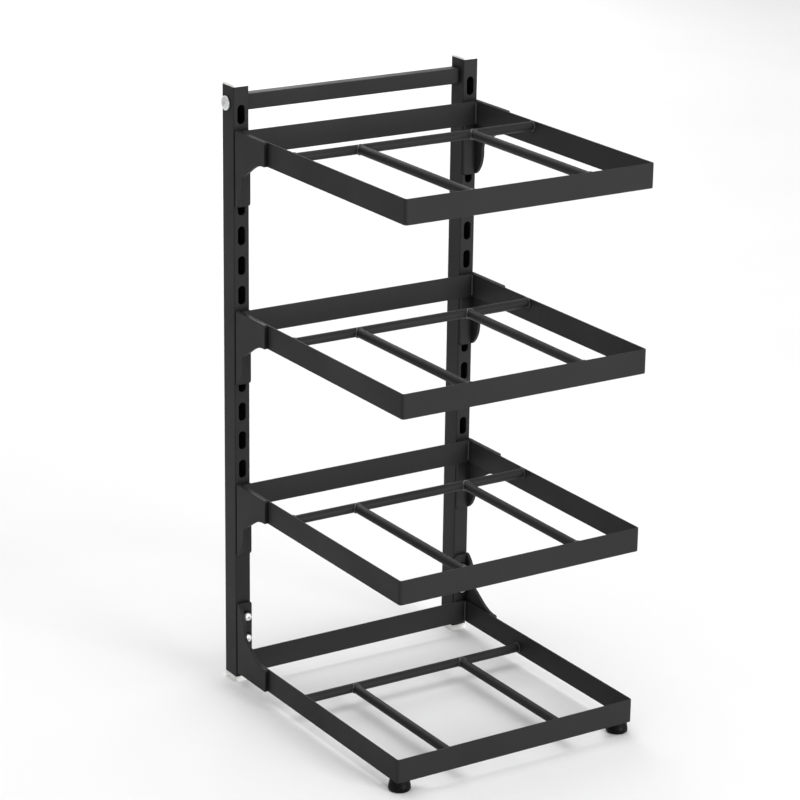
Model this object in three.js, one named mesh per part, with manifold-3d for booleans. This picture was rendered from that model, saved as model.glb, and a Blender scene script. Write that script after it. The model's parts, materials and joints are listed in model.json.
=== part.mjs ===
// Free-standing four-tier cookware rack. Two slotted tube uprights carry a base shelf, which
// is screwed on, and three shelves that hook into the slots and lift off.
// Millimetres, +Z up. The open front faces -Y. The origin is on the floor, in the middle.

import * as THREE from 'three';
import { mergeVertices } from 'three/addons/utils/BufferGeometryUtils.js';
import Module from 'manifold-3d';

const wasm = await Module();
wasm.setup();

// ---- Driving dimensions -------------------------------------------------------------------

const rackWidth = 233; // over the outer faces of the uprights
const rackDepth = 270; // back of the uprights to the front of the shelf rims
const rackHeight = 517; // floor to the top of the end caps
const gap = 0.3; // clearance between pieces that are bolted or welded together

const upright = { width: 14, depth: 19, wall: 1.4, corner: 1.2 };
const capHeight = 2.5; // the end cap above the tube
const glideHeight = 5.5; // the plastic glide below the tube
const plug = { skirt: 8, wall: 1.6, corner: 1 }; // the part of a cap or glide inside the tube

const slot = { width: 6.5, length: 15.6, pitch: 25, count: 15, topZ: 492 };

const tierSpacing = 6 * slot.pitch;
const baseRimBottom = 10;
const rim = { height: 20, thickness: 1.5, corner: 3, bevel: 0.3 };
const rearBarSetback = 23.5; // back of the uprights to the back of a shelf's rear bar

// A wire's centre is inset from the rim edge nearest it: the top edge of a hooked shelf, the
// bottom edge of the base.
const wire = {
  radius: 3.85,
  sides: 16,
  saddleEnd: 0.7, // how near a long wire comes to the cross wire's axis, as a share of radius
  hookedInset: 4.2,
  baseInset: 5.4,
  spacing: 106,
  crossSetback: 107,
};

const bracket = {
  sheet: 2.8,
  reach: 49,
  armHeight: rim.height,
  armStraight: 5, // from the arm's tip to where its inner edge starts to curve
  throat: 16, // from the arm to where the blade's edge runs straight
  height: 63,
  taper: 20, // the rounded end of the blade
  flangeWidth: 13.4,
  bladeReach: 13,
  bend: 3,
  armCorner: 1.5,
  flangeCorner: 2.5,
  edgeBevel: 0.3,
};

const hook = {
  width: 3.2,
  neckHeight: 5.5,
  lip: 5,
  thickness: 2.4,
  behindWall: 0.4,
  aboveSlotEnd: 0.8,
  slotsDown: [13, 38], // the slots' centres below the top of the shelf's rim
};

const crossbar = { depth: 10.5, height: 13, wall: 1.2, corner: 1.2, z: 500, setback: 7.2 };
const crossbarScrew = { headRadius: 6, headHeight: 2.2, shankRadius: 2.5, length: 30 };
const insert = { length: 18, corner: 0.6 };

const baseScrew = { headRadius: 3.5, headHeight: 2.6, shankRadius: 2, length: 12 };
const baseScrewHeights = { lower: 41.5, upper: 61 };
const baseScrewX = 108.5;
const washer = { radius: 4.7, thickness: 1.2 };
const rivetNut = { bodyRadius: 3, bulgeRadius: 4.2, bulgeLength: 2, length: 8.5 };

const foot = { topRadius: 8, bottomRadius: 9.1, insetX: 8, insetY: 9.2, boreFloor: 3.5 };
const footTab = { leg: 26, thickness: 2 };
const footScrew = { headRadius: 4.5, headHeight: 2.4, shankRadius: 2.5, length: 8 };

// The form of every screw head, as shares of its radius and height.
const head = { side: 0.35, crown: 0.55, recessReach: 0.45, recessHalfWidth: 0.11, recessFloor: 0.45 };

// ---- Places worked out from them ----------------------------------------------------------

const halfWidth = rackWidth / 2;
const backY = rackDepth / 2;
const frontY = -rackDepth / 2;
const uprightFrontY = backY - upright.depth;
const uprightX = halfWidth - upright.width / 2;
const uprightTopZ = rackHeight - capHeight;

const flangeBackY = uprightFrontY - gap;
const flangeFrontY = flangeBackY - bracket.sheet;
const plateInnerX = halfWidth - bracket.sheet;
const rimOuterX = plateInnerX - gap;
const rimInnerX = rimOuterX - rim.thickness;
const rearBarBackY = backY - rearBarSetback;
const crossWireY = backY - wire.crossSetback;
const footX = rimOuterX - foot.insetX;
const footY = frontY + foot.insetY;
const crossbarY = backY - crossbar.setback;

// ---- Materials ----------------------------------------------------------------------------

const standard = (color, roughness, metalness) =>
  new THREE.MeshStandardMaterial({ color, roughness, metalness });

const blackSteel = () => standard(0x1c1c1d, 0.45, 0.4);
const zincSteel = () => standard(0xc4c6c8, 0.3, 1);
const whitePlastic = () => standard(0xeeeeec, 0.5, 0);
const blackRubber = () => standard(0x101011, 0.8, 0);

// ---- Shape helpers ------------------------------------------------------------------------

const alongX = new THREE.Matrix4().makeBasis(
  new THREE.Vector3(0, 1, 0),
  new THREE.Vector3(0, 0, 1),
  new THREE.Vector3(1, 0, 0),
);
const alongMinusY = new THREE.Matrix4().makeBasis(
  new THREE.Vector3(1, 0, 0),
  new THREE.Vector3(0, 0, 1),
  new THREE.Vector3(0, -1, 0),
);

// An outline in X-Y, extruded up from z.
function prismZ(shape, z, height, bevel = 0, segments = 6) {
  const geometry = extrude(shape, height, bevel, segments);
  return geometry.translate(0, 0, z);
}

// An outline in Y-Z, extruded towards +X from x.
function prismX(shape, x, length, bevel = 0, segments = 6) {
  const geometry = extrude(shape, length, bevel, segments);
  return geometry.applyMatrix4(alongX).translate(x, 0, 0);
}

// An outline in X-Z, extruded towards the front from y.
function prismY(shape, y, length, bevel = 0, segments = 6) {
  const geometry = extrude(shape, length, bevel, segments);
  return geometry.applyMatrix4(alongMinusY).translate(0, y, 0);
}

function extrude(shape, length, bevel, segments) {
  const geometry = new THREE.ExtrudeGeometry(shape, {
    depth: length - 2 * bevel,
    curveSegments: segments,
    bevelEnabled: bevel > 0,
    bevelThickness: bevel,
    bevelSize: bevel,
    bevelOffset: -bevel,
    bevelSegments: 1,
  });
  return geometry.translate(0, 0, bevel);
}

function roundedRectangle(cx, cy, width, height, radius, path = new THREE.Shape()) {
  const left = cx - width / 2;
  const right = cx + width / 2;
  const bottom = cy - height / 2;
  const top = cy + height / 2;
  path.moveTo(left + radius, bottom);
  path.lineTo(right - radius, bottom);
  path.quadraticCurveTo(right, bottom, right, bottom + radius);
  path.lineTo(right, top - radius);
  path.quadraticCurveTo(right, top, right - radius, top);
  path.lineTo(left + radius, top);
  path.quadraticCurveTo(left, top, left, top - radius);
  path.lineTo(left, bottom + radius);
  path.quadraticCurveTo(left, bottom, left + radius, bottom);
  return path;
}

function tubeSection(cx, cy, width, height, wall, corner) {
  const section = roundedRectangle(cx, cy, width, height, corner);
  const innerCorner = Math.max(corner - wall, 0.4);
  const bore = new THREE.Path();
  roundedRectangle(cx, cy, width - 2 * wall, height - 2 * wall, innerCorner, bore);
  section.holes.push(bore);
  return section;
}

function disc(cx, cy, radius) {
  return new THREE.Shape().absarc(cx, cy, radius, 0, 2 * Math.PI);
}

function slotOutline(cx, cz) {
  const radius = slot.width / 2;
  const straight = slot.length / 2 - radius;
  const shape = new THREE.Shape();
  shape.absarc(cx, cz + straight, radius, 0, Math.PI);
  shape.absarc(cx, cz - straight, radius, Math.PI, 2 * Math.PI);
  return shape;
}

// A box from its lowest and highest corners, in any order.
function boxBetween(a, b) {
  const size = [0, 1, 2].map((i) => Math.abs(b[i] - a[i]));
  const centre = [0, 1, 2].map((i) => (a[i] + b[i]) / 2);
  return new THREE.BoxGeometry(...size).translate(...centre);
}

function toSolid(geometry) {
  const bare = geometry.clone();
  bare.deleteAttribute('normal');
  bare.deleteAttribute('uv');
  const merged = mergeVertices(bare, 1e-4);
  return new wasm.Manifold(new wasm.Mesh({
    numProp: 3,
    vertProperties: new Float32Array(merged.attributes.position.array),
    triVerts: new Uint32Array(merged.index.array),
  }));
}

function toGeometry(solid) {
  const mesh = solid.getMesh();
  const geometry = new THREE.BufferGeometry();
  geometry.setAttribute('position', new THREE.BufferAttribute(mesh.vertProperties, 3));
  geometry.setIndex(new THREE.BufferAttribute(mesh.triVerts, 1));
  geometry.computeVertexNormals();
  return geometry;
}

function cut(geometry, tools) {
  const solid = tools.reduce((body, tool) => body.subtract(toSolid(tool)), toSolid(geometry));
  return toGeometry(solid);
}

function join(geometries) {
  const solid = geometries.slice(1).reduce(
    (body, next) => body.add(toSolid(next)),
    toSolid(geometries[0]),
  );
  return toGeometry(solid);
}

function common(geometries) {
  const solid = geometries.slice(1).reduce(
    (body, next) => body.intersect(toSolid(next)),
    toSolid(geometries[0]),
  );
  return toGeometry(solid);
}

function piece(name, geometry, material) {
  const mesh = new THREE.Mesh(geometry, material);
  mesh.name = name;
  return mesh;
}

// A cross-recessed screw along +Z: the underside of its head is at z = 0, the shank below.
function screwGeometry({ headRadius, headHeight, shankRadius, length }) {
  const tip = shankRadius * 0.2;
  const points = [[0, -length], [shankRadius - tip, -length], [shankRadius, -length + 2 * tip]];
  points.push([shankRadius, 0], [headRadius, 0], [headRadius, headHeight * head.side]);
  for (let step = 1; step <= 2; step += 1) {
    const angle = (step / 2) * (Math.PI / 2);
    const radius = headRadius * (1 - (1 - head.crown) * (1 - Math.cos(angle)));
    points.push([radius, headHeight * (head.side + (1 - head.side) * Math.sin(angle))]);
  }
  points.push([0, headHeight]);
  const profile = points.map(([radius, z]) => new THREE.Vector2(radius, z));
  const body = new THREE.LatheGeometry(profile, 16).rotateX(Math.PI / 2);
  const arm = headRadius * head.recessReach;
  const half = headRadius * head.recessHalfWidth;
  const floor = headHeight * head.recessFloor;
  const top = headHeight + 1;
  return cut(body, [
    boxBetween([-arm, -half, floor], [arm, half, top]),
    boxBetween([-half, -arm, floor], [half, arm, top]),
  ]);
}

// ---- Upright frame ------------------------------------------------------------------------

function uprightTube(side) {
  const x = side * uprightX;
  const y = uprightFrontY + upright.depth / 2;
  const section = tubeSection(x, y, upright.width, upright.depth, upright.wall, upright.corner);
  const tube = prismZ(section, glideHeight, uprightTopZ - glideHeight, 0, 3);
  const wallCut = upright.wall + 2;
  const tools = [];
  for (let index = 0; index < slot.count; index += 1) {
    const z = slot.topZ - index * slot.pitch;
    tools.push(prismY(slotOutline(x, z), uprightFrontY + wallCut, wallCut + 1, 0, 3));
  }
  const crossHole = disc(crossbarY, crossbar.z, crossbarScrew.shankRadius + gap);
  tools.push(prismX(crossHole, x - upright.width / 2 - 1, upright.width + 2));
  for (const z of Object.values(baseScrewHeights)) {
    const hole = disc(side * baseScrewX, z, rivetNut.bodyRadius + gap);
    tools.push(prismY(hole, uprightFrontY + wallCut, wallCut + 1));
  }
  return cut(tube, tools);
}

// The part of a plug that is pushed into the tube: a thin ring.
function plugRing(x, y, z, height) {
  const width = upright.width - 2 * upright.wall - 2 * gap;
  const depth = upright.depth - 2 * upright.wall - 2 * gap;
  return prismZ(tubeSection(x, y, width, depth, plug.wall, plug.corner), z, height, 0, 2);
}

function endCap(side) {
  const x = side * uprightX;
  const y = uprightFrontY + upright.depth / 2;
  const outline = roundedRectangle(x, y, upright.width, upright.depth, upright.corner);
  const lid = prismZ(outline, uprightTopZ + gap / 2, capHeight - gap / 2, 0.9, 3);
  return join([lid, plugRing(x, y, uprightTopZ - plug.skirt, plug.skirt + 1)]);
}

function glide(side) {
  const x = side * uprightX;
  const y = uprightFrontY + upright.depth / 2;
  const outline = roundedRectangle(x, y, upright.width, upright.depth, upright.corner);
  const sole = prismZ(outline, 0, glideHeight - gap / 2, 0.8, 3);
  return join([sole, plugRing(x, y, glideHeight - 1, plug.skirt + 1)]);
}

function crossbarTube() {
  const length = rackWidth - 2 * upright.width - 2 * gap;
  const section = tubeSection(
    crossbarY,
    crossbar.z,
    crossbar.depth,
    crossbar.height,
    crossbar.wall,
    crossbar.corner,
  );
  return prismX(section, -length / 2, length, 0, 4);
}

// A threaded block held in the end of the crossbar.
function crossbarInsert(side) {
  const inset = 2 * (crossbar.wall + gap);
  const outline = roundedRectangle(
    crossbarY,
    crossbar.z,
    crossbar.depth - inset,
    crossbar.height - inset,
    insert.corner,
  );
  outline.holes.push(disc(crossbarY, crossbar.z, crossbarScrew.shankRadius + gap));
  const end = halfWidth - upright.width - 2 * gap;
  return prismX(outline, side > 0 ? end - insert.length : -end, insert.length, 0, 6);
}

function frame() {
  const group = new THREE.Group();
  group.add(piece('top_crossbar', crossbarTube(), blackSteel()));
  for (const [label, side] of [['left', -1], ['right', 1]]) {
    group.add(piece(`upright_${label}`, uprightTube(side), blackSteel()));
    group.add(piece(`end_cap_${label}`, endCap(side), whitePlastic()));
    group.add(piece(`glide_${label}`, glide(side), whitePlastic()));
    group.add(piece(`crossbar_insert_${label}`, crossbarInsert(side), zincSteel()));
    const screw = piece(`crossbar_screw_${label}`, screwGeometry(crossbarScrew), zincSteel());
    screw.rotation.y = side * Math.PI / 2;
    screw.position.set(side * (halfWidth + gap), crossbarY, crossbar.z);
    group.add(screw);
  }
  return group;
}

// ---- Shelves ------------------------------------------------------------------------------
// A shelf is drawn in a frame whose z = 0 is the rim edge nearest the wires. "away" is -1 for
// a hooked shelf, whose wires are at the top and whose brackets reach down, and +1 for the
// base shelf, which is the same frame turned over.

function shelfRim(away) {
  const r = rim.corner;
  const outerX = rimOuterX;
  const innerX = rimInnerX;
  const innerFrontY = frontY + rim.thickness;
  const innerR = r - rim.thickness;
  const outline = new THREE.Shape();
  outline.moveTo(-outerX, rearBarBackY);
  outline.lineTo(-outerX, frontY + r);
  outline.quadraticCurveTo(-outerX, frontY, -outerX + r, frontY);
  outline.lineTo(outerX - r, frontY);
  outline.quadraticCurveTo(outerX, frontY, outerX, frontY + r);
  outline.lineTo(outerX, rearBarBackY);
  outline.lineTo(innerX, rearBarBackY);
  outline.lineTo(innerX, innerFrontY + innerR);
  outline.quadraticCurveTo(innerX, innerFrontY, innerX - innerR, innerFrontY);
  outline.lineTo(-innerX + innerR, innerFrontY);
  outline.quadraticCurveTo(-innerX, innerFrontY, -innerX, innerFrontY + innerR);
  outline.lineTo(-innerX, rearBarBackY);
  outline.closePath();
  return prismZ(outline, Math.min(0, away * rim.height), rim.height, rim.bevel, 4);
}

function rearBar(away) {
  const width = 2 * (rimInnerX - gap);
  const y = rearBarBackY - rim.thickness / 2;
  const outline = roundedRectangle(0, y, width, rim.thickness, 0.3);
  return prismZ(outline, Math.min(0, away * rim.height), rim.height, rim.bevel, 2);
}

// A round wire's section: a polygon about the true circle, with a flat side on top.
function wireSection(a, b, clearance = 0) {
  const half = Math.PI / wire.sides;
  const reach = (wire.radius + clearance) / Math.cos(half);
  const points = [];
  for (let index = 0; index < wire.sides; index += 1) {
    const angle = half * (2 * index + 1);
    points.push(new THREE.Vector2(a + reach * Math.cos(angle), b + reach * Math.sin(angle)));
  }
  return new THREE.Shape(points);
}

function wireHeight(away) {
  return away > 0 ? wire.baseInset : -wire.hookedInset;
}

function crossWire(away) {
  const length = 2 * (rimInnerX - gap);
  return prismX(wireSection(crossWireY, wireHeight(away)), -length / 2, length);
}

// A long wire's rear end is hollowed to fit round the cross wire.
function longWire(side, away) {
  const x = side * wire.spacing / 2;
  const z = wireHeight(away);
  const rear = crossWireY - wire.saddleEnd * wire.radius;
  const front = frontY + rim.thickness + gap;
  const rod = prismY(wireSection(x, z), rear, rear - front);
  const saddle = wireSection(crossWireY, z, gap);
  return cut(rod, [prismX(saddle, x - 2 * wire.radius, 4 * wire.radius)]);
}

// The bracket is one bent plate: its plan is an L, its side view has a short arm along the
// rim and a rounded blade along the upright. Heights run from the arm's outer edge.
function bracketPlan(side) {
  const x = (distance) => side * distance;
  const inner = halfWidth - bracket.flangeWidth;
  const tipY = uprightFrontY - bracket.reach;
  const insideBend = 0.4;
  const plan = new THREE.Shape();
  plan.moveTo(x(inner), flangeBackY);
  plan.lineTo(x(halfWidth - bracket.bend), flangeBackY);
  plan.quadraticCurveTo(x(halfWidth), flangeBackY, x(halfWidth), flangeBackY - bracket.bend);
  plan.lineTo(x(halfWidth), tipY);
  plan.lineTo(x(plateInnerX), tipY);
  plan.lineTo(x(plateInnerX), flangeFrontY - insideBend);
  plan.quadraticCurveTo(
    x(plateInnerX),
    flangeFrontY,
    x(plateInnerX - insideBend),
    flangeFrontY,
  );
  plan.lineTo(x(inner), flangeFrontY);
  plan.closePath();
  return plan;
}

function bracketProfile(away) {
  const y = (reach) => uprightFrontY - reach;
  const z = (height) => away * height;
  const { reach, armHeight, height, bladeReach, throat, taper } = bracket;
  const corner = bracket.armCorner;
  const curveStart = reach - bracket.armStraight;
  const run = curveStart - bladeReach;
  const profile = new THREE.Shape();
  profile.moveTo(y(0), z(0));
  profile.lineTo(y(reach - corner), z(0));
  profile.quadraticCurveTo(y(reach), z(0), y(reach), z(corner));
  profile.lineTo(y(reach), z(armHeight - corner));
  profile.quadraticCurveTo(y(reach), z(armHeight), y(reach - corner), z(armHeight));
  profile.lineTo(y(curveStart), z(armHeight));
  profile.bezierCurveTo(
    y(curveStart - 0.4 * run),
    z(armHeight + 0.1 * throat),
    y(bladeReach + 0.4 * run),
    z(armHeight + 0.55 * throat),
    y(bladeReach + 2),
    z(armHeight + 0.9 * throat),
  );
  profile.quadraticCurveTo(
    y(bladeReach),
    z(armHeight + throat),
    y(bladeReach),
    z(armHeight + 1.2 * throat),
  );
  profile.lineTo(y(bladeReach), z(height - taper));
  profile.bezierCurveTo(
    y(bladeReach),
    z(height - 0.5 * taper),
    y(bladeReach - 5),
    z(height - 3),
    y(bracket.sheet + gap),
    z(height),
  );
  profile.lineTo(y(0), z(height));
  profile.closePath();
  return profile;
}

function bracketFront(side, away) {
  const x = (distance) => side * distance;
  const z = (height) => away * height;
  const inner = halfWidth - bracket.flangeWidth;
  const corner = bracket.flangeCorner;
  const front = new THREE.Shape();
  front.moveTo(x(halfWidth + 1), z(-1));
  front.lineTo(x(inner + corner), z(-1));
  front.lineTo(x(inner + corner), z(0));
  front.quadraticCurveTo(x(inner), z(0), x(inner), z(corner));
  front.lineTo(x(inner), z(bracket.height - corner));
  front.quadraticCurveTo(x(inner), z(bracket.height), x(inner + corner), z(bracket.height));
  front.lineTo(x(inner + corner), z(bracket.height + 1));
  front.lineTo(x(halfWidth + 1), z(bracket.height + 1));
  front.closePath();
  return front;
}

function bentPlate(side, away) {
  const low = Math.min(0, away * bracket.height) - 1;
  const inner = halfWidth - bracket.flangeWidth;
  const startX = Math.min(side * halfWidth, side * inner);
  return common([
    prismZ(bracketPlan(side), low, bracket.height + 2, 0, 5),
    prismX(bracketProfile(away), startX, bracket.flangeWidth, bracket.edgeBevel, 8),
    prismY(bracketFront(side, away), uprightFrontY + 1, bracket.reach + 2, 0, 4),
  ]);
}

// Two hooks per bracket pass through slots and hang behind the upright's front wall.
function hookedBracket(side, away) {
  const left = side * uprightX - hook.width / 2;
  const right = left + hook.width;
  const lipFrontY = uprightFrontY + upright.wall + hook.behindWall;
  const lipBackY = lipFrontY + hook.thickness;
  const pieces = [bentPlate(side, away)];
  for (const down of hook.slotsDown) {
    const neckZ = away * down - slot.length / 2 + hook.aboveSlotEnd;
    const neckTopZ = neckZ + hook.neckHeight;
    pieces.push(boxBetween([left, flangeFrontY + 1, neckZ], [right, lipBackY, neckTopZ]));
    pieces.push(boxBetween([left, lipFrontY, neckZ - hook.lip], [right, lipBackY, neckTopZ]));
  }
  return join(pieces);
}

function drilledBracket(side, away) {
  const tools = Object.values(baseScrewHeights).map((z) => {
    const hole = disc(side * baseScrewX, z - baseRimBottom, baseScrew.shankRadius + gap);
    return prismY(hole, uprightFrontY + 1, bracket.sheet + 3);
  });
  return cut(bentPlate(side, away), tools);
}

function shelf(name, away, bracketShape) {
  const group = new THREE.Group();
  group.add(piece(`${name}_rim`, shelfRim(away), blackSteel()));
  group.add(piece(`${name}_rear_bar`, rearBar(away), blackSteel()));
  group.add(piece(`${name}_cross_wire`, crossWire(away), blackSteel()));
  for (const [label, side] of [['left', -1], ['right', 1]]) {
    group.add(piece(`${name}_wire_${label}`, longWire(side, away), blackSteel()));
    group.add(piece(`${name}_bracket_${label}`, bracketShape(side, away), blackSteel()));
  }
  return group;
}

// ---- Base fixings and feet ----------------------------------------------------------------

function washerGeometry() {
  const ring = disc(0, 0, washer.radius);
  ring.holes.push(disc(0, 0, baseScrew.shankRadius + gap));
  return prismY(ring, 0, washer.thickness, 0, 8);
}

function rivetNutGeometry() {
  const bore = baseScrew.shankRadius + gap;
  const bulgeStart = upright.wall + 0.4;
  const bulgeEnd = bulgeStart + rivetNut.bulgeLength;
  const points = [
    [bore, 0],
    [rivetNut.bodyRadius, 0],
    [rivetNut.bodyRadius, bulgeStart],
    [rivetNut.bulgeRadius, bulgeStart],
    [rivetNut.bulgeRadius, bulgeEnd],
    [rivetNut.bodyRadius, bulgeEnd],
    [rivetNut.bodyRadius, rivetNut.length],
    [bore, rivetNut.length],
    [bore, 0],
  ];
  return new THREE.LatheGeometry(points.map(([r, y]) => new THREE.Vector2(r, y)), 12);
}

function baseFixings() {
  const group = new THREE.Group();
  for (const [label, side] of [['left', -1], ['right', 1]]) {
    for (const [level, z] of Object.entries(baseScrewHeights)) {
      const name = `${label}_${level}`;
      const x = side * baseScrewX;
      const washerMesh = piece(`base_washer_${name}`, washerGeometry(), blackSteel());
      washerMesh.position.set(x, flangeFrontY - gap, z);
      const nut = piece(`base_rivet_nut_${name}`, rivetNutGeometry(), zincSteel());
      nut.position.set(x, uprightFrontY, z);
      const screw = piece(`base_screw_${name}`, screwGeometry(baseScrew), zincSteel());
      screw.rotation.x = Math.PI / 2;
      screw.position.set(x, flangeFrontY - washer.thickness - 2 * gap, z);
      group.add(washerMesh, nut, screw);
    }
  }
  return group;
}

function footGeometry() {
  const top = baseRimBottom - gap;
  const bore = footScrew.shankRadius + gap;
  const points = [
    [0, 0],
    [foot.bottomRadius - 1.2, 0],
    [foot.bottomRadius - 0.35, 0.35],
    [foot.bottomRadius, 1.2],
    [foot.topRadius, top - 0.6],
    [foot.topRadius - 0.5, top],
    [bore, top],
    [bore, foot.boreFloor],
    [0, foot.boreFloor],
  ];
  const profile = points.map(([radius, z]) => new THREE.Vector2(radius, z));
  return new THREE.LatheGeometry(profile, 24).rotateX(Math.PI / 2);
}

// A gusset in the front corner of the base rim, which the foot is screwed to.
function footTabGeometry(side) {
  const inner = rimInnerX - gap;
  const front = frontY + rim.thickness + gap;
  const nose = 2;
  const outline = new THREE.Shape();
  outline.moveTo(side * (inner - nose), front);
  outline.lineTo(side * (inner - footTab.leg), front);
  outline.lineTo(side * inner, front + footTab.leg);
  outline.lineTo(side * inner, front + nose);
  outline.closePath();
  outline.holes.push(disc(side * footX, footY, footScrew.shankRadius + gap));
  return prismZ(outline, 0, footTab.thickness, 0, 6);
}

function feet() {
  const group = new THREE.Group();
  const tabBottom = baseRimBottom;
  for (const [label, side] of [['left', -1], ['right', 1]]) {
    const rubber = piece(`foot_${label}`, footGeometry(), blackRubber());
    rubber.position.set(side * footX, footY, 0);
    const tab = piece(`foot_tab_${label}`, footTabGeometry(side), blackSteel());
    tab.position.z = tabBottom;
    const screw = piece(`foot_screw_${label}`, screwGeometry(footScrew), zincSteel());
    screw.position.set(side * footX, footY, tabBottom + footTab.thickness + gap);
    group.add(rubber, tab, screw);
  }
  return group;
}

// ---- Assembly -----------------------------------------------------------------------------

const group = new THREE.Group();
group.add(frame());

const baseShelf = shelf('base', 1, drilledBracket);
baseShelf.position.z = baseRimBottom;
group.add(baseShelf);

['lower', 'middle', 'upper'].forEach((name, index) => {
  const hooked = shelf(name, -1, hookedBracket);
  hooked.position.z = baseRimBottom + rim.height + (index + 1) * tierSpacing;
  group.add(hooked);
});

group.add(baseFixings());
group.add(feet());

export default group;
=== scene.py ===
import json
import math

import bmesh
import bpy
from mathutils import Matrix, Vector


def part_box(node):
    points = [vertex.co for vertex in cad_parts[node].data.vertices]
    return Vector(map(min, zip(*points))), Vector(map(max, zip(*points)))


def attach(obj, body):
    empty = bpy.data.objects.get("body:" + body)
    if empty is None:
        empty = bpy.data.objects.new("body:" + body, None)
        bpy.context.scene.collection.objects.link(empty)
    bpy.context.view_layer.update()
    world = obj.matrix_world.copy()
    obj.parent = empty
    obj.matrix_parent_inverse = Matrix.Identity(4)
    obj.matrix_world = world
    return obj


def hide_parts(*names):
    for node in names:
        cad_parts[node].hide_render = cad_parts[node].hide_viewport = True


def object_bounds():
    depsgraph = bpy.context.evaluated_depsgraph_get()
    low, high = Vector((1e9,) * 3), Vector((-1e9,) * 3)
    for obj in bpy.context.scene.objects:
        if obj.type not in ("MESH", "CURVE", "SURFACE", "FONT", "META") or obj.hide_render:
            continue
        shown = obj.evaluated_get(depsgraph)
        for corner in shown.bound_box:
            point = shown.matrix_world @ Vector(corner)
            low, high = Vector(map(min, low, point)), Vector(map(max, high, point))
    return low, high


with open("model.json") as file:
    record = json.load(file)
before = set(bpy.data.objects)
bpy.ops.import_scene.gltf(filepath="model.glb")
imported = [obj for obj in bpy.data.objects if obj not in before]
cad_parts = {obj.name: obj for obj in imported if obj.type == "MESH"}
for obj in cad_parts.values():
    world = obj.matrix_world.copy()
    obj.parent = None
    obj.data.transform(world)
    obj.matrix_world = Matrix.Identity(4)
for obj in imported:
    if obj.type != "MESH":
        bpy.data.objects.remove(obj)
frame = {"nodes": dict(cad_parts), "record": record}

# A four-tier cookware rack. Everything is in metres, in the frame of the CAD model: +X to the
# right, +Y to the uprights at the back, +Z up, with the floor at z = 0.

MM = 0.001
NODES = frame["nodes"]
BODIES = {
    node: body
    for body, members in frame["record"]["behaviour"]["bodies"].items()
    for node in members
}
SLOTS = {row["node"]: row["material_slot"] for row in frame["record"]["subparts"]}
TIERS = ("base", "lower", "middle", "upper")
SIDES = {"left": -1, "right": 1}
LEVELS = ("lower", "upper")
CAD_LOW, CAD_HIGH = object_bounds()

# The camera: its direction in degrees, its distance and target in metres, its lens in mm.
CAMERA_AZIMUTH = 32.513
CAMERA_ELEVATION = 18.581
CAMERA_ROLL = 0.808
CAMERA_DISTANCE = 2.35263
CAMERA_TARGET = Vector((-0.01976, 0.01574, 0.26639))
CAMERA_LENS = 130.82

# Driving sizes of the details that the frame's boxes do not give.
TUBE_WALL = 1.4 * MM
TUBE_CORNER = 1.2 * MM
SLOT_WIDTH = 6.5 * MM
SLOT_LENGTH = 15.6 * MM
SLOT_PITCH = 25 * MM
SLOT_COUNT = 15
SLOT_TOP = 492 * MM
CROSSBAR_SCREW_HOLE = 2.8 * MM
RIVET_NUT_HOLE = 3.3 * MM
CUTTER_OVERRUN = 1 * MM
HEAD_HEIGHTS = {"crossbar": 2.2 * MM, "foot": 2.4 * MM, "base": 2.6 * MM}
THREAD_PITCH = 0.8 * MM
WASHER_BORE = 2.3 * MM
PLUG_INSET = 1.75 * MM
PLUG_CORNER = 0.8 * MM
FOOT_BORE = 2.8 * MM
FOOT_BORE_FLOOR = 3.5 * MM
ROD_SEGMENTS = 40
ROD_ARRIS = 0.3 * MM
SADDLE_CLEARANCE = 0.2 * MM
BEAD_RADIUS = 0.8 * MM
CORNER_BEAD_RADIUS = 1.0 * MM

# The studio. A light has its place from the rack's middle, its size and its watts.
FLOOR_SIZE = 30.0
WORLD_STRENGTH = 0.44
LIGHTS = {
    "key": (Vector((0.9, -3.4, 0.9)), 1.8, 102),
    "fill": (Vector((-3.0, -1.2, 1.0)), 1.8, 4),
    "overhead": (Vector((0.0, 0.6, 3.4)), 3.4, 72),
    "back": (Vector((0.8, 3.4, 1.1)), 2.6, 50),
}


# ---- Mesh helpers -------------------------------------------------------------------------


def middle(node):
    low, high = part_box(node)
    return (low + high) / 2


def plan_of(node):
    """A node's middle, brought down to the floor, and half its width and depth."""
    low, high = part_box(node)
    centre = Vector(((low.x + high.x) / 2, (low.y + high.y) / 2, 0))
    return centre, (high.x - low.x) / 2, (high.y - low.y) / 2


def circle(count):
    """The cosine and sine of each of count equal steps round a turn."""
    angles = [2 * math.pi * k / count for k in range(count)]
    return [(math.cos(angle), math.sin(angle)) for angle in angles]


def quarter_turn(steps):
    """The angles from 0 to 90 degrees, in equal steps."""
    return [math.pi / 2 * k / steps for k in range(steps + 1)]


def shade(mesh, sharp_angle=35):
    """Smooth shading, with edges sharper than an angle in degrees kept sharp."""
    mesh.shade_smooth()
    mesh.set_sharp_from_angle(angle=math.radians(sharp_angle))


def add_object(name, mesh_builder, material, sharp_angle=35):
    """A new object named name, whose mesh is what the bmesh mesh_builder holds."""
    bmesh.ops.recalc_face_normals(mesh_builder, faces=mesh_builder.faces)
    mesh = bpy.data.meshes.new(name)
    mesh_builder.to_mesh(mesh)
    mesh_builder.free()
    shade(mesh, sharp_angle)
    made = bpy.data.objects.new(name, mesh)
    made.data.materials.append(material)
    bpy.context.scene.collection.objects.link(made)
    return made


def stand_for(piece, node):
    """The piece takes the node's place and body."""
    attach(piece, BODIES[node])
    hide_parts(node)


def ring_faces(builder, lower, upper):
    count = len(lower)
    for i in range(count):
        j = (i + 1) % count
        builder.faces.new((lower[i], lower[j], upper[j], upper[i]))


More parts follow.
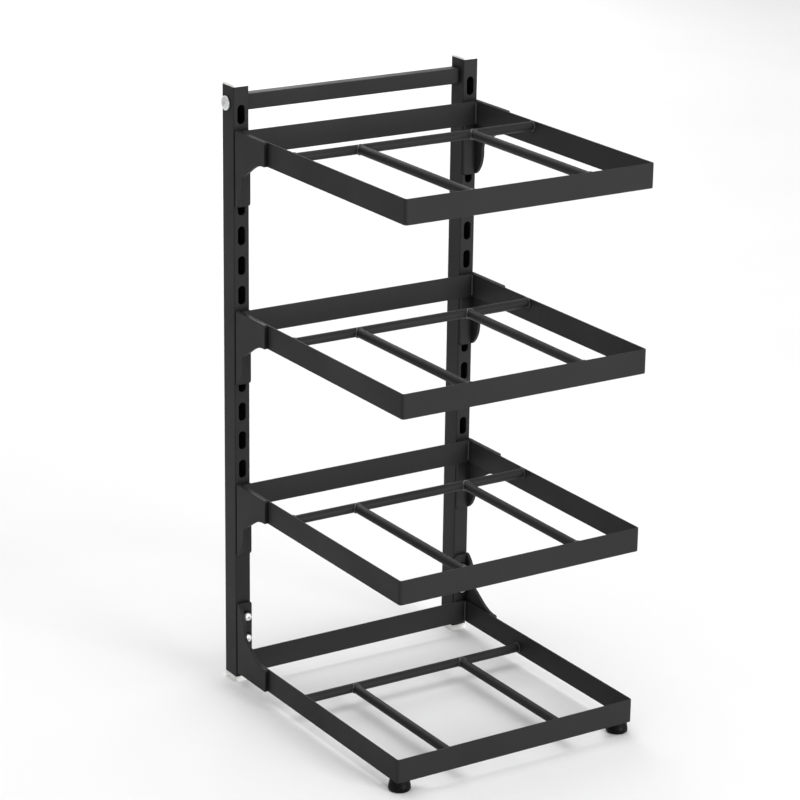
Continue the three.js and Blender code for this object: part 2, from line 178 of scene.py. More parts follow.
def lathe(builder, profile, segments, matrix):
    """Turns (radius, height) points about Z. A profile that starts or ends on the axis closes."""
    on_axis = 1e-7
    rings = []
    for radius, height in profile:
        if radius < on_axis:
            rings.append([builder.verts.new(matrix @ Vector((0, 0, height)))])
            continue
        points = [Vector((radius * dx, radius * dy, height)) for dx, dy in circle(segments)]
        rings.append([builder.verts.new(matrix @ p) for p in points])
    for lower, upper in zip(rings, rings[1:]):
        if len(lower) == 1 or len(upper) == 1:
            tip, ring = (lower[0], upper) if len(lower) == 1 else (upper[0], lower)
            for i in range(segments):
                builder.faces.new((tip, ring[i], ring[(i + 1) % segments]))
        else:
            ring_faces(builder, lower, upper)


def rounded_rectangle(half_x, half_y, radius, steps=6):
    """Points of a rounded rectangle about the origin, anticlockwise."""
    points = []
    corners = ((1, 1, 0), (-1, 1, 90), (-1, -1, 180), (1, -1, 270))
    for sx, sy, start in corners:
        centre = Vector((sx * (half_x - radius), sy * (half_y - radius), 0))
        for turn in quarter_turn(steps):
            angle = math.radians(start) + turn
            points.append(centre + radius * Vector((math.cos(angle), math.sin(angle), 0)))
    return points


def loft(builder, sections, centre):
    """Closed stack of rounded rectangles, each (z, half_x, half_y, corner radius)."""
    rings = []
    for z, half_x, half_y, radius in sections:
        outline = rounded_rectangle(half_x, half_y, radius)
        rings.append([builder.verts.new(centre + p + Vector((0, 0, z))) for p in outline])
    for lower, upper in zip(rings, rings[1:]):
        ring_faces(builder, lower, upper)
    builder.faces.new(rings[0])
    builder.faces.new(rings[-1])


def cut_away(target, cutters):
    """Applies boolean cuts to target and deletes the cutters."""
    for cutter in cutters:
        modifier = target.modifiers.new("cut", "BOOLEAN")
        modifier.object = cutter
        modifier.solver = "EXACT"
    depsgraph = bpy.context.evaluated_depsgraph_get()
    cut_mesh = bpy.data.meshes.new_from_object(target.evaluated_get(depsgraph))
    target.modifiers.clear()
    old_mesh = target.data
    target.data = cut_mesh
    cut_mesh.name = old_mesh.name
    bpy.data.meshes.remove(old_mesh)
    for cutter in cutters:
        bpy.data.objects.remove(cutter)
    shade(target.data)


# ---- Materials ----------------------------------------------------------------------------


class Nodes:
    """A small helper that makes and joins shader nodes of one material."""

    def __init__(self, name):
        self.material = bpy.data.materials.new(name)
        self.material.use_nodes = True
        self.tree = self.material.node_tree
        self.shader = self.tree.nodes["Principled BSDF"]
        self.coords = self.tree.nodes.new("ShaderNodeTexCoord").outputs["Object"]

    def link(self, output, socket):
        self.tree.links.new(output, socket)

    def noise(self, scale, detail=2.0, roughness=0.5, stretch=None):
        node = self.tree.nodes.new("ShaderNodeTexNoise")
        node.inputs["Scale"].default_value = scale
        node.inputs["Detail"].default_value = detail
        node.inputs["Roughness"].default_value = roughness
        source = self.coords
        if stretch is not None:
            mapping = self.tree.nodes.new("ShaderNodeMapping")
            mapping.inputs["Scale"].default_value = stretch
            self.link(self.coords, mapping.inputs["Vector"])
            source = mapping.outputs["Vector"]
        self.link(source, node.inputs["Vector"])
        return node.outputs["Fac"]

    def ramp(self, value, low, high, out_low=0.0, out_high=1.0):
        node = self.tree.nodes.new("ShaderNodeMapRange")
        node.inputs["From Min"].default_value = low
        node.inputs["From Max"].default_value = high
        node.inputs["To Min"].default_value = out_low
        node.inputs["To Max"].default_value = out_high
        self.link(value, node.inputs["Value"])
        return node.outputs["Result"]

    def math(self, operation, first, second):
        node = self.tree.nodes.new("ShaderNodeMath")
        node.operation = operation
        node.use_clamp = True
        for socket, value in zip(node.inputs, (first, second)):
            if isinstance(value, (int, float)):
                socket.default_value = value
            else:
                self.link(value, socket)
        return node.outputs["Value"]

    def mix(self, factor, first, second):
        node = self.tree.nodes.new("ShaderNodeMix")
        node.data_type = "RGBA"
        self.link(factor, node.inputs["Factor"])
        for socket, value in ((node.inputs[6], first), (node.inputs[7], second)):
            if isinstance(value, tuple):
                socket.default_value = (*value, 1.0)
            else:
                self.link(value, socket)
        return node.outputs[2]

    def edges(self, radius):
        """0 on flat faces, rising to 1 at convex and concave edges."""
        bevel = self.tree.nodes.new("ShaderNodeBevel")
        bevel.samples = 6
        bevel.inputs["Radius"].default_value = radius
        geometry = self.tree.nodes.new("ShaderNodeNewGeometry")
        dot = self.tree.nodes.new("ShaderNodeVectorMath")
        dot.operation = "DOT_PRODUCT"
        self.link(bevel.outputs["Normal"], dot.inputs[0])
        self.link(geometry.outputs["Normal"], dot.inputs[1])
        return self.ramp(dot.outputs["Value"], 0.98, 0.75)

    def crevice(self, distance):
        """A mask for painted shade: 0 in the open, rising to 1 where surfaces meet or lie close
        together.
        """
        node = self.tree.nodes.new("ShaderNodeAmbientOcclusion")
        node.samples = 6
        node.inputs["Distance"].default_value = distance
        return self.ramp(node.outputs["AO"], 0.85, 0.25)

    def facing_up(self):
        geometry = self.tree.nodes.new("ShaderNodeNewGeometry")
        split = self.tree.nodes.new("ShaderNodeSeparateXYZ")
        self.link(geometry.outputs["Normal"], split.inputs["Vector"])
        return self.ramp(split.outputs["Z"], 0.7, 1.0)

    def bump(self, height, strength, distance, below=None):
        node = self.tree.nodes.new("ShaderNodeBump")
        node.inputs["Strength"].default_value = strength
        node.inputs["Distance"].default_value = distance
        self.link(height, node.inputs["Height"])
        if below is not None:
            self.link(below, node.inputs["Normal"])
        return node.outputs["Normal"]

    def finish(self, color, roughness, normal, metallic=0.0, specular=0.5):
        shader = self.shader.inputs
        self.link(color, shader["Base Color"])
        self.link(roughness, shader["Roughness"])
        self.link(normal, shader["Normal"])
        shader["Metallic"].default_value = metallic
        shader["Specular IOR Level"].default_value = specular
        return self.material


def powder_coat(name, dark, light, rough, specular):
    """Semi-gloss powder paint: orange peel, powder grain, rubbed edges, a little dust, and painted
    shade in its crevices.
    """
    n = Nodes(name)
    cloud = n.ramp(n.noise(9.0, 4.0), 0.35, 0.65)
    grain = n.ramp(n.noise(2600.0, 1.0), 0.3, 0.7)
    tone = n.math("ADD", n.math("MULTIPLY", cloud, 0.55), n.math("MULTIPLY", grain, 0.35))
    color = n.mix(tone, dark, light)
    rubbed = n.math("MULTIPLY", n.edges(0.4 * MM), n.ramp(n.noise(160.0, 3.0), 0.45, 0.65))
    color = n.mix(n.math("MULTIPLY", rubbed, 0.4), color, (0.075, 0.075, 0.077))
    dust = n.math("MULTIPLY", n.facing_up(), n.ramp(n.noise(38.0, 5.0, 0.7), 0.5, 0.8))
    color = n.mix(n.math("MULTIPLY", dust, 0.06), color, (0.10, 0.098, 0.094))
    # Painted shade: the colour darkens to near black in crevices and where parts lie close, and the
    # surface there is rougher.
    painted_crevice_shade = n.crevice(7 * MM)
    color = n.mix(n.math("MULTIPLY", painted_crevice_shade, 0.95), color, (0.0015, 0.0015, 0.0015))
    roughness = n.ramp(n.noise(22.0, 4.0), 0.3, 0.7, rough - 0.05, rough + 0.06)
    roughness = n.math("ADD", roughness, n.math("MULTIPLY", painted_crevice_shade, 0.3))
    peel = n.bump(n.noise(620.0, 2.0), 0.22, 0.00012)
    normal = n.bump(n.noise(2600.0, 1.0), 0.12, 0.00003, below=peel)
    return n.finish(color, roughness, normal, 0.0, specular)


def zinc_plate():
    """Bright zinc with faint turning marks and duller blooms."""
    n = Nodes("zinc_plate")
    bloom = n.ramp(n.noise(420.0, 4.0, 0.6), 0.4, 0.65)
    color = n.mix(bloom, (0.90, 0.90, 0.91), (0.74, 0.75, 0.75))
    grime = n.math("MULTIPLY", n.edges(0.35 * MM), n.ramp(n.noise(900.0, 2.0), 0.4, 0.6))
    color = n.mix(n.math("MULTIPLY", grime, 0.5), color, (0.30, 0.30, 0.29))
    roughness = n.ramp(n.noise(700.0, 3.0), 0.3, 0.7, 0.50, 0.64)
    normal = n.bump(n.noise(1800.0, 2.0, stretch=(1.0, 1.0, 6.0)), 0.10, 0.00004)
    return n.finish(color, roughness, normal, 1.0)


def white_plastic():
    """Moulded polyethylene: soft, slightly uneven white with fine scuffs."""
    n = Nodes("white_plastic")
    cloud = n.ramp(n.noise(160.0, 3.0), 0.35, 0.65)
    color = n.mix(cloud, (0.88, 0.88, 0.87), (0.80, 0.80, 0.78))
    scuff = n.math("MULTIPLY", n.edges(0.5 * MM), n.ramp(n.noise(700.0, 4.0), 0.5, 0.7))
    color = n.mix(n.math("MULTIPLY", scuff, 0.35), color, (0.55, 0.54, 0.52))
    roughness = n.ramp(n.noise(300.0, 3.0), 0.3, 0.7, 0.38, 0.52)
    normal = n.bump(n.noise(1500.0, 2.0), 0.12, 0.00004)
    material = n.finish(color, roughness, normal)
    n.shader.inputs["Subsurface Weight"].default_value = 0.12
    n.shader.inputs["Subsurface Radius"].default_value = (0.002, 0.002, 0.0018)
    return material


def black_rubber():
    """Moulded rubber, dull, with a fine pebble and grey bloom."""
    n = Nodes("black_rubber")
    bloom = n.ramp(n.noise(240.0, 5.0, 0.65), 0.42, 0.72)
    color = n.mix(bloom, (0.002, 0.002, 0.0022), (0.005, 0.005, 0.0052))
    roughness = n.ramp(n.noise(500.0, 3.0), 0.3, 0.7, 0.42, 0.56)
    normal = n.bump(n.noise(2200.0, 2.0), 0.25, 0.00005)
    return n.finish(color, roughness, normal, 0.0, 0.1)


def pale_floor():
    """Seamless studio floor in faintly uneven white."""
    n = Nodes("pale_floor")
    color = n.mix(n.ramp(n.noise(3.0, 3.0), 0.3, 0.7), (0.83, 0.83, 0.83), (0.85, 0.85, 0.85))
    roughness = n.ramp(n.noise(8.0), 0.3, 0.7, 0.85, 0.92)
    normal = n.bump(n.noise(40.0), 0.02, 0.0005)
    return n.finish(color, roughness, normal, 0.0, 0.1)


STEEL = powder_coat("black_powder_coat", (0.0195, 0.0195, 0.020), (0.0265, 0.0265, 0.027), 0.48, 0.10)
# The weld beads wear the steel's black coat, painted two to three times lighter as a painted
# highlight; their lower roughness and higher specular are real gloss.
WELD = powder_coat("weld_coat_painted_highlight", (0.045, 0.045, 0.046), (0.060, 0.060, 0.061), 0.24, 0.6)
WASHER = powder_coat("black_oxide", (0.003, 0.003, 0.0032), (0.006, 0.006, 0.0062), 0.5, 0.08)
ZINC = zinc_plate()
PLASTIC = white_plastic()
RUBBER = black_rubber()
MATERIALS = {
    "black_steel": STEEL,
    "black_washer": WASHER,
    "zinc_steel": ZINC,
    "white_plastic": PLASTIC,
    "black_rubber": RUBBER,
}


# ---- CAD nodes that stay ------------------------------------------------------------------

EDGE_ROUNDING = {"top_crossbar": 0.25 * MM, "bracket": 0.3 * MM}
USUAL_ROUNDING = 0.12 * MM


def soften(node, rounding):
    """Rounds the edges of a CAD node's look with modifiers, and leaves its own mesh alone."""
    made = NODES[node]
    weld = made.modifiers.new("weld", "WELD")
    weld.merge_threshold = 0.005 * MM
    bevel = made.modifiers.new("bevel", "BEVEL")
    bevel.width = rounding
    bevel.segments = 2
    bevel.limit_method = "ANGLE"
    bevel.angle_limit = math.radians(40)
    bevel.harden_normals = False
    normals = made.modifiers.new("normals", "WEIGHTED_NORMAL")
    normals.keep_sharp = False
    normals.weight = 60


def dress_cad_nodes():
    """Gives every CAD node its material, smooth shading and soft edges."""
    for name, made in NODES.items():
        made.data.materials.clear()
        made.data.materials.append(MATERIALS[SLOTS[name]])
        if "custom_normal" in made.data.attributes:
            made.data.attributes.remove(made.data.attributes["custom_normal"])
        made.data.shade_smooth()
        found = [rounding for key, rounding in EDGE_ROUNDING.items() if key in name]
        soften(name, found[0] if found else USUAL_ROUNDING)


# ---- Uprights -----------------------------------------------------------------------------


def slot_cutter(builder, centre_x, centre_z, front_y):
    """A slot with round ends whose mouth flares, as a punched edge rolls over."""
    flare_depth = 0.45 * MM
    flare_growth = 1.35 * MM
    through = TUBE_WALL + 1.6 * MM
    nearly_round = 0.999
    stations = ((-CUTTER_OVERRUN, flare_growth), (flare_depth, 0), (through, 0))
    rings = []
    for depth, growth in stations:
        half_width = SLOT_WIDTH / 2 + growth
        half_length = SLOT_LENGTH / 2 + growth
        outline = rounded_rectangle(half_width, half_length, half_width * nearly_round, 9)
        ring = [Vector((centre_x + p.x, front_y + depth, centre_z + p.y)) for p in outline]
        rings.append([builder.verts.new(p) for p in ring])
    for near, far in zip(rings, rings[1:]):
        ring_faces(builder, near, far)
    builder.faces.new(rings[0])
    builder.faces.new(rings[-1])


def round_cutter(builder, centre, radius, length, axis):
    """A plain round hole through a tube wall."""
    turn = axis.to_track_quat("Z", "Y").to_matrix().to_4x4()
    profile = [(0, -length / 2), (radius, -length / 2), (radius, length / 2), (0, length / 2)]
    lathe(builder, profile, 32, Matrix.Translation(centre) @ turn)


def tube_prism(builder, centre, half_x, half_y, corner, low_z, high_z):
    """An upright prism with rounded corners, which is a tube's outside or its bore."""
    loft(builder, [(low_z, half_x, half_y, corner), (high_z, half_x, half_y, corner)], centre)


def upright(side):
    """A rectangular tube with punched slots down its front face and its screw holes."""
    node = f"upright_{side}"
    low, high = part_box(node)
    centre, half_x, half_y = plan_of(node)
    outer = bmesh.new()
    tube_prism(outer, centre, half_x, half_y, TUBE_CORNER, low.z, high.z)
    tube = add_object(node + "_body", outer, STEEL)

    bore = bmesh.new()
    bore_corner = TUBE_CORNER / 3
    bore_x, bore_y = half_x - TUBE_WALL, half_y - TUBE_WALL
    bore_low, bore_high = low.z - CUTTER_OVERRUN, high.z + CUTTER_OVERRUN
    tube_prism(bore, centre, bore_x, bore_y, bore_corner, bore_low, bore_high)
    holes = bmesh.new()
    for index in range(SLOT_COUNT):
        slot_cutter(holes, centre.x, SLOT_TOP - index * SLOT_PITCH, low.y)
    crossbar = middle("top_crossbar")
    across = Vector((centre.x, crossbar.y, crossbar.z))
    through = 2 * half_x + 2 * CUTTER_OVERRUN
    round_cutter(holes, across, CROSSBAR_SCREW_HOLE, through, Vector((1, 0, 0)))
    for level in LEVELS:
        nut = middle(f"base_rivet_nut_{side}_{level}")
        place = Vector((nut.x, low.y, nut.z))
        through = 2 * TUBE_WALL + 2 * CUTTER_OVERRUN
        round_cutter(holes, place, RIVET_NUT_HOLE, through, Vector((0, 1, 0)))
    cutters = [add_object("bore_cutter", bore, STEEL), add_object("hole_cutter", holes, STEEL)]
    cut_away(tube, cutters)
    edge = tube.modifiers.new("edge", "BEVEL")
    edge.width = USUAL_ROUNDING
    edge.segments = 2
    edge.limit_method = "ANGLE"
    edge.angle_limit = math.radians(50)
    tube.modifiers.new("normals", "WEIGHTED_NORMAL")
    stand_for(tube, node)


# ---- Screws, washers, caps, glides and feet ------------------------------------------------


def screw(node, direction, head_height, recess_turn):
    """A cross-recessed pan-head screw in the place of a CAD screw. direction: shank to head."""
    low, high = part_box(node)
    centre = (low + high) / 2
    axis = max(range(3), key=lambda i: abs(direction[i]))
    across = high - low
    length = across[axis]
    radius = max(across[i] for i in range(3) if i != axis) / 2
    head_end = centre + direction * (length / 2)
    turn = direction.to_track_quat("Z", "Y").to_matrix().to_4x4()
    matrix = Matrix.Translation(head_end - direction * head_height) @ turn
    wide_head = 5 * MM
    shank = 0.5 * radius if radius > wide_head else 0.56 * radius
    root = 0.84 * shank
    shank_end = head_height - length
    tip_chamfer = 0.6 * MM
    plain_under_head = 0.3 * MM
    profile = [(0, shank_end), (shank * 0.7, shank_end), (shank, shank_end + tip_chamfer)]
    unthreaded = 1.4 * MM
    for k in range(int((-shank_end - unthreaded) / THREAD_PITCH)):
        z = shank_end + THREAD_PITCH * (k + 1)
        profile += [(root, z), (shank, z + THREAD_PITCH / 2)]
    profile += [(root, -plain_under_head), (root, 0)]
    profile += [(radius * 0.97, 0), (radius, 0.1 * head_height)]
    side_share, fullness = 0.32, 0.45
    *dome, _ = quarter_turn(9)
    for angle in dome:
        height = head_height * (side_share + (1 - side_share) * math.sin(angle))
        profile.append((radius * math.cos(angle) ** fullness, height))
    profile.append((0, head_height))
    builder = bmesh.new()
    lathe(builder, profile, 48, matrix)
    made = add_object(node + "_body", builder, ZINC)
    cut_away(made, recess_cutters(matrix, radius, head_height, recess_turn))
    stand_for(made, node)


def recess_cutters(matrix, radius, head_height, turn):
    """Two crossed tapered blades that cut a cross recess into a screw head."""
    reach = 0.46 * radius
    half = 0.085 * radius
    bottom = (reach * 0.45, half * 0.8, head_height * 0.5)
    top = (reach, half * 1.25, head_height * 1.3)
    cutters = []
    for quarter in range(2):
        spin = Matrix.Rotation(turn + quarter * math.pi / 2, 4, "Z")
        builder = bmesh.new()
        rings = []
        for x, y, z in (bottom, top):
            points = [(x, y, z), (-x, y, z), (-x, -y, z), (x, -y, z)]
            rings.append([builder.verts.new(matrix @ spin @ Vector(p)) for p in points])
        ring_faces(builder, *rings)
        builder.faces.new(rings[0])
        builder.faces.new(rings[1])
        cutters.append(add_object("recess_cutter", builder, ZINC))
    return cutters


def washer(node):
    """A pressed washer with a rolled rim."""
    low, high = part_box(node)
    centre = (low + high) / 2
    radius = (high.x - low.x) / 2
    bore = WASHER_BORE
    half = (high.y - low.y) / 2
    roll = 0.3 * MM
    dished = 0.7 * half
    profile = [
        (bore, -half),
        (radius - roll, -half),
        (radius - 0.3 * roll, -half + 0.3 * roll),
        (radius, -half + roll),
        (radius, half - roll),
        (radius - 0.3 * roll, half - 0.3 * roll),
        (radius - roll, half),
        (radius - 4 * roll, dished),
        (bore + roll, dished),
        (bore, half * 0.5),
        (bore, -half),
    ]
    matrix = Matrix.Translation(centre) @ Matrix.Rotation(math.pi / 2, 4, "X")
    builder = bmesh.new()
    lathe(builder, profile, 48, matrix)
    bmesh.ops.remove_doubles(builder, verts=builder.verts, dist=0.001 * MM)
    stand_for(add_object(node + "_body", builder, WASHER), node)


def end_cap(node):
    """A push-in plastic cap with a softly domed top and a ribbed skirt."""
    low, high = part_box(node)
    centre, half_x, half_y = plan_of(node)
    head_base = high.z - 2.35 * MM
    rib_root = PLUG_INSET + 0.3 * MM
    root_section = (half_x - rib_root, half_y - rib_root, PLUG_CORNER)
    rib_section = (half_x - PLUG_INSET, half_y - PLUG_INSET, PLUG_CORNER)
    sections = [(low.z, *root_section)]
    first_rib, rib_pitch, rib_rise = 0.6 * MM, 1.7 * MM, 0.5 * MM
    for k in range(4):
        z = low.z + first_rib + k * rib_pitch
        sections += [(z, *root_section), (z + rib_rise, *rib_section)]
    arris = 0.15 * MM
    sections.append((head_base, *root_section))
    sections.append((head_base, half_x - arris, half_y - arris, TUBE_CORNER))
    sections.append((head_base + arris, half_x, half_y, TUBE_CORNER))
    side_top = head_base + 0.5 * MM
    dome_inset = 4.6 * MM
    for angle in quarter_turn(10):
        rise = (high.z - side_top) * math.sin(angle) ** 0.9
        inset = dome_inset * (1 - math.cos(angle))
        corner = max(TUBE_CORNER - 0.2 * inset, 0.5 * MM)
        sections.append((side_top + rise, half_x - inset, half_y - inset, corner))
    builder = bmesh.new()
    loft(builder, sections, centre)
    stand_for(add_object(node + "_body", builder, PLASTIC, 50), node)


def glide(node):
    """A push-in plastic foot with a rounded sole and a small shoulder under the tube."""
    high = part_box(node)[1]
    centre, half_x, half_y = plan_of(node)
    roll = 0.8 * MM
    groove, groove_top, sole_top = 4.4 * MM, 4.9 * MM, 5.35 * MM
    groove_depth, groove_slope = 0.25 * MM, 0.1 * MM
    levels = [(roll * (1 - math.cos(a)), roll * (1 - math.sin(a))) for a in quarter_turn(5)]
    levels += [(groove, 0), (groove + groove_slope, groove_depth)]
    levels += [(groove_top - groove_slope, groove_depth), (groove_top, 0), (sole_top, 0)]
    sections = [(z, half_x - inset, half_y - inset, TUBE_CORNER) for z, inset in levels]
    for z in (sole_top, high.z):
        sections.append((z, half_x - PLUG_INSET, half_y - PLUG_INSET, PLUG_CORNER))
    builder = bmesh.new()
    loft(builder, sections, centre)
    stand_for(add_object(node + "_body", builder, PLASTIC, 50), node)


def rubber_foot(node):
    """A tapered bumper: rolled sole, hollow underside, mould seam and screw bore."""
    centre, sole, _ = plan_of(node)
    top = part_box(node)[1].z
    neck = sole - 1.1 * MM
    hollow = 1.2 * MM
    profile = [(0, hollow), (3.4 * MM, hollow), (4.0 * MM, hollow / 4), (4.6 * MM, 0)]
    roll = 2.0 * MM
    for angle in quarter_turn(6):
        profile.append((sole - roll + roll * math.sin(angle), roll * (1 - math.cos(angle))))
    seam, seam_half, seam_proud = 4.2 * MM, 0.15 * MM, 0.09 * MM
    taper = (sole - neck) / (top - roll)
    for z, proud in ((seam - seam_half, 0), (seam, seam_proud), (seam + seam_half, 0)):
        profile.append((sole - taper * (z - roll) + proud, z))
    shoulder = 0.8 * MM
    for angle in quarter_turn(5):
        reach = neck - shoulder + shoulder * math.cos(angle)
        profile.append((reach, top - shoulder + shoulder * math.sin(angle)))
    lead_in = 0.3 * MM
    profile += [(FOOT_BORE + lead_in, top), (FOOT_BORE, top - lead_in)]
    profile += [(FOOT_BORE, FOOT_BORE_FLOOR), (0, FOOT_BORE_FLOOR)]
    builder = bmesh.new()
    lathe(builder, profile, 64, Matrix.Translation(centre))
    stand_for(add_object(node + "_body", builder, RUBBER, 40), node)


# ---- Wires and weld beads ------------------------------------------------------------------


def wire_radius(tier):
    """All the wires of a shelf are as thick as its cross wire."""
    low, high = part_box(f"{tier}_cross_wire")
    return (high.z - low.z) / 2


def rod_ends(tier, side):
    """The axis of a long wire: its x, its z, its front end and the cross wire's axis behind it."""
    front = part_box(f"{tier}_wire_{side}")[0].y
    cross = middle(f"{tier}_cross_wire")
    return middle(f"{tier}_wire_{side}").x, cross.z, front, cross.y


def saddle_y(cross_y, radius, clearance, height):
    """Where a long wire's end meets the cross wire, at a height from their shared axis."""
    reach = radius + clearance
    return cross_y - math.sqrt(max(reach * reach - height * height, 0))


def end_disc(builder, rim_ring, place, fractions=(0.66, 0.33)):
    """Closes a rod's end with rings that place(share of the radius, index) sets."""
    outer = rim_ring
    for share in fractions:
        inner = [builder.verts.new(place(share, k)) for k in range(len(rim_ring))]
        ring_faces(builder, outer, inner)
        outer = inner
    centre = builder.verts.new(place(0, 0))
    for k in range(len(outer)):
        builder.faces.new((outer[k], outer[(k + 1) % len(outer)], centre))


def long_wire(tier, side):
    """A round rod with a rounded front arris, its rear end hollowed to fit the cross wire."""
    node = f"{tier}_wire_{side}"
    x, z, front, cross_y = rod_ends(tier, side)
    radius = wire_radius(tier)
    directions = circle(ROD_SEGMENTS)

    def front_place(share, k):
        reach = share * (radius - ROD_ARRIS)
        return Vector((x + reach * directions[k][0], front, z + reach * directions[k][1]))

    def rear_place(share, k):
        reach = share * radius
        height = reach * directions[k][1]
        end = saddle_y(cross_y, radius, SADDLE_CLEARANCE, height)
        return Vector((x + reach * directions[k][0], end, z + height))

    builder = bmesh.new()
    nose = [builder.verts.new(front_place(1, k)) for k in range(ROD_SEGMENTS)]
    shoulder = []
    for dx, dz in directions:
        point = Vector((x + radius * dx, front + ROD_ARRIS, z + radius * dz))
        shoulder.append(builder.verts.new(point))
    tail = [builder.verts.new(rear_place(1, k)) for k in range(ROD_SEGMENTS)]
    ring_faces(builder, nose, shoulder)
    ring_faces(builder, shoulder, tail)
    end_disc(builder, nose, front_place)
    end_disc(builder, tail, rear_place)
    stand_for(add_object(node + "_body", builder, STEEL), node)


def cross_wire(tier):
    """A straight round rod with rounded arrises."""
    node = f"{tier}_cross_wire"
    low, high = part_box(node)
    radius = wire_radius(tier)
    half = (high.x - low.x) / 2
    profile = [(0, -half), (radius - ROD_ARRIS, -half), (radius, ROD_ARRIS - half)]
    profile += [(radius, half - ROD_ARRIS), (radius - ROD_ARRIS, half), (0, half)]
    turn = Matrix.Rotation(math.pi / 2, 4, "Y")
    builder = bmesh.new()
    lathe(builder, profile, ROD_SEGMENTS, Matrix.Translation(middle(node)) @ turn)
    stand_for(add_object(node + "_body", builder, STEEL), node)


def bead(builder, corners, radius, closed=False, pitch=0.9 * MM):
    """A rippled weld bead along straight runs between corners."""
    ends = corners[1:] + corners[:1] if closed else corners[1:]
    path = []
    for start, end in zip(corners, ends):
        steps = max(2, int((end - start).length / (pitch / 3)))
        path += [start.lerp(end, k / steps) for k in range(steps)]
    if not closed:
        path.append(corners[-1])
    ripple = 0.14
    rings = []
    travelled = 0
    for index, point in enumerate(path):
        ahead = path[(index + 1) % len(path)] if closed or index + 1 < len(path) else point
        behind = path[index - 1] if closed or index else point
        along = (ahead - behind).normalized()
        travelled += (point - behind).length if index else 0
        helper = Vector((0, 0, 1)) if abs(along.z) < 0.9 else Vector((1, 0, 0))
        across = along.cross(helper).normalized()
        up = across.cross(along)
        swell = 1 + ripple * math.cos(2 * math.pi * travelled / pitch)
        if not closed:
            steps_to_end = min(index, len(path) - 1 - index)
            swell *= min(1.0, 0.45 + 0.2 * steps_to_end)
        outline = [point + radius * swell * (a * across + b * up) for a, b in circle(8)]
        rings.append([builder.verts.new(p) for p in outline])
    for lower, upper in zip(rings, rings[1:]):
        ring_faces(builder, lower, upper)
    if closed:
        ring_faces(builder, rings[-1], rings[0])
    else:
        builder.faces.new(rings[0])
        builder.faces.new(rings[-1])


def wire_loop(centre, first, second, radius, steps=24):
    """Points of a circle round a wire end, in the plane of the unit vectors first, second."""
    return [centre + radius * (a * first + b * second) for a, b in circle(steps)]


def shelf_welds(tier):
    """The beads of one shelf: wire ends, wire crossings and the rear bar's corners."""
    right, back, up = Vector((1, 0, 0)), Vector((0, 1, 0)), Vector((0, 0, 1))
    cross_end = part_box(f"{tier}_cross_wire")[1].x
    rim_low, rim_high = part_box(f"{tier}_rim")
    bar_low, bar_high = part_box(f"{tier}_rear_bar")
    radius = wire_radius(tier)
    short_of_edge = 1.2 * MM
    builder = bmesh.new()
    for label, side in SIDES.items():
        x, z, front, cross_y = rod_ends(tier, label)
        loops = [wire_loop(Vector((side * cross_end, cross_y, z)), back, up, radius)]
        loops.append(wire_loop(Vector((x, front, z)), right, up, radius))
        seam = wire_loop(Vector((x, cross_y, z)), right, up, radius)
        for point in seam:
            point.y = saddle_y(cross_y, radius, SADDLE_CLEARANCE, point.z - z)
        for loop in (*loops, seam):
            bead(builder, loop, BEAD_RADIUS, closed=True)
        corner = Vector((side * bar_high.x, bar_low.y, 0))
        top = corner + up * (rim_high.z - short_of_edge)
        bottom = corner + up * (rim_low.z + short_of_edge)
        bead(builder, [bottom, top], CORNER_BEAD_RADIUS)
    # The beads take the weld coat, whose lighter colour is a painted highlight.
    made = add_object(f"{tier}_welds", builder, WELD, 60)
    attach(made, BODIES[f"{tier}_rim"])


# ---- Floor, light and camera ---------------------------------------------------------------


def studio():
    scene = bpy.context.scene
    builder = bmesh.new()
    bmesh.ops.create_grid(builder, x_segments=8, y_segments=8, size=FLOOR_SIZE / 2)
    floor = add_object("studio_floor", builder, pale_floor())

    world = bpy.data.worlds.new("studio")
    world.use_nodes = True
    background = world.node_tree.nodes["Background"].inputs
    background["Color"].default_value = (1.0, 1.0, 1.0, 1.0)
    background["Strength"].default_value = WORLD_STRENGTH
    scene.world = world
    scene.view_settings.view_transform = "Standard"

    centre = (CAD_LOW + CAD_HIGH) / 2
    for name, (offset, size, power) in LIGHTS.items():
        area_light(name, centre + offset, centre, size, power)


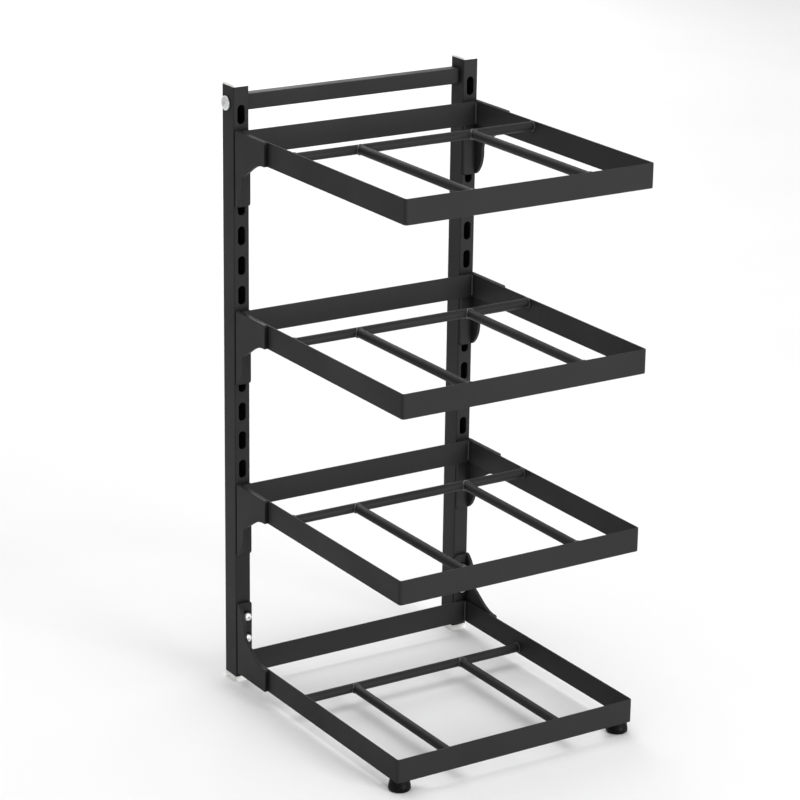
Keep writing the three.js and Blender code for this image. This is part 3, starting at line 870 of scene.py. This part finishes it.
def area_light(name, place, target, size, power):
    """A round soft light that faces its target."""
    light = bpy.data.lights.new(name, "AREA")
    light.shape = "DISK"
    light.size = size
    light.energy = power
    made = bpy.data.objects.new(name, light)
    made.location = place
    made.rotation_euler = (place - target).to_track_quat("Z", "Y").to_euler()
    bpy.context.scene.collection.objects.link(made)


def camera():
    azimuth, elevation = math.radians(CAMERA_AZIMUTH), math.radians(CAMERA_ELEVATION)
    flat = math.cos(elevation)
    look = Vector((math.sin(azimuth) * flat, math.cos(azimuth) * flat, -math.sin(elevation)))
    right = Vector((math.cos(azimuth), -math.sin(azimuth), 0))
    up = right.cross(look)
    turned = Matrix((right, up, -look)).transposed().to_4x4()
    roll = Matrix.Rotation(math.radians(CAMERA_ROLL), 4, "Z")
    data = bpy.data.cameras.new("camera")
    data.lens = CAMERA_LENS
    data.sensor_width = 36.0
    data.clip_end = 100.0
    made = bpy.data.objects.new("camera", data)
    place = CAMERA_TARGET - look * CAMERA_DISTANCE
    made.matrix_world = Matrix.Translation(place) @ turned @ roll
    bpy.context.scene.collection.objects.link(made)
    bpy.context.scene.camera = made


# ---- Assembly ------------------------------------------------------------------------------

camera()
studio()
dress_cad_nodes()

for side_name, side_sign in SIDES.items():
    outward = Vector((side_sign, 0, 0))
    upright(side_name)
    turn = math.radians(20 + 15 * side_sign)
    screw(f"crossbar_screw_{side_name}", outward, HEAD_HEIGHTS["crossbar"], turn)
    upward = Vector((0, 0, 1))
    screw(f"foot_screw_{side_name}", upward, HEAD_HEIGHTS["foot"], math.radians(10))
    end_cap(f"end_cap_{side_name}")
    glide(f"glide_{side_name}")
    rubber_foot(f"foot_{side_name}")
    for level_index, level in enumerate(LEVELS):
        turn = math.radians(12 + 37 * level_index + 20 * side_sign)
        name = f"{side_name}_{level}"
        screw(f"base_screw_{name}", Vector((0, -1, 0)), HEAD_HEIGHTS["base"], turn)
        washer(f"base_washer_{name}")

for tier_name in TIERS:
    cross_wire(tier_name)
    for side_name in SIDES:
        long_wire(tier_name, side_name)
    shelf_welds(tier_name)
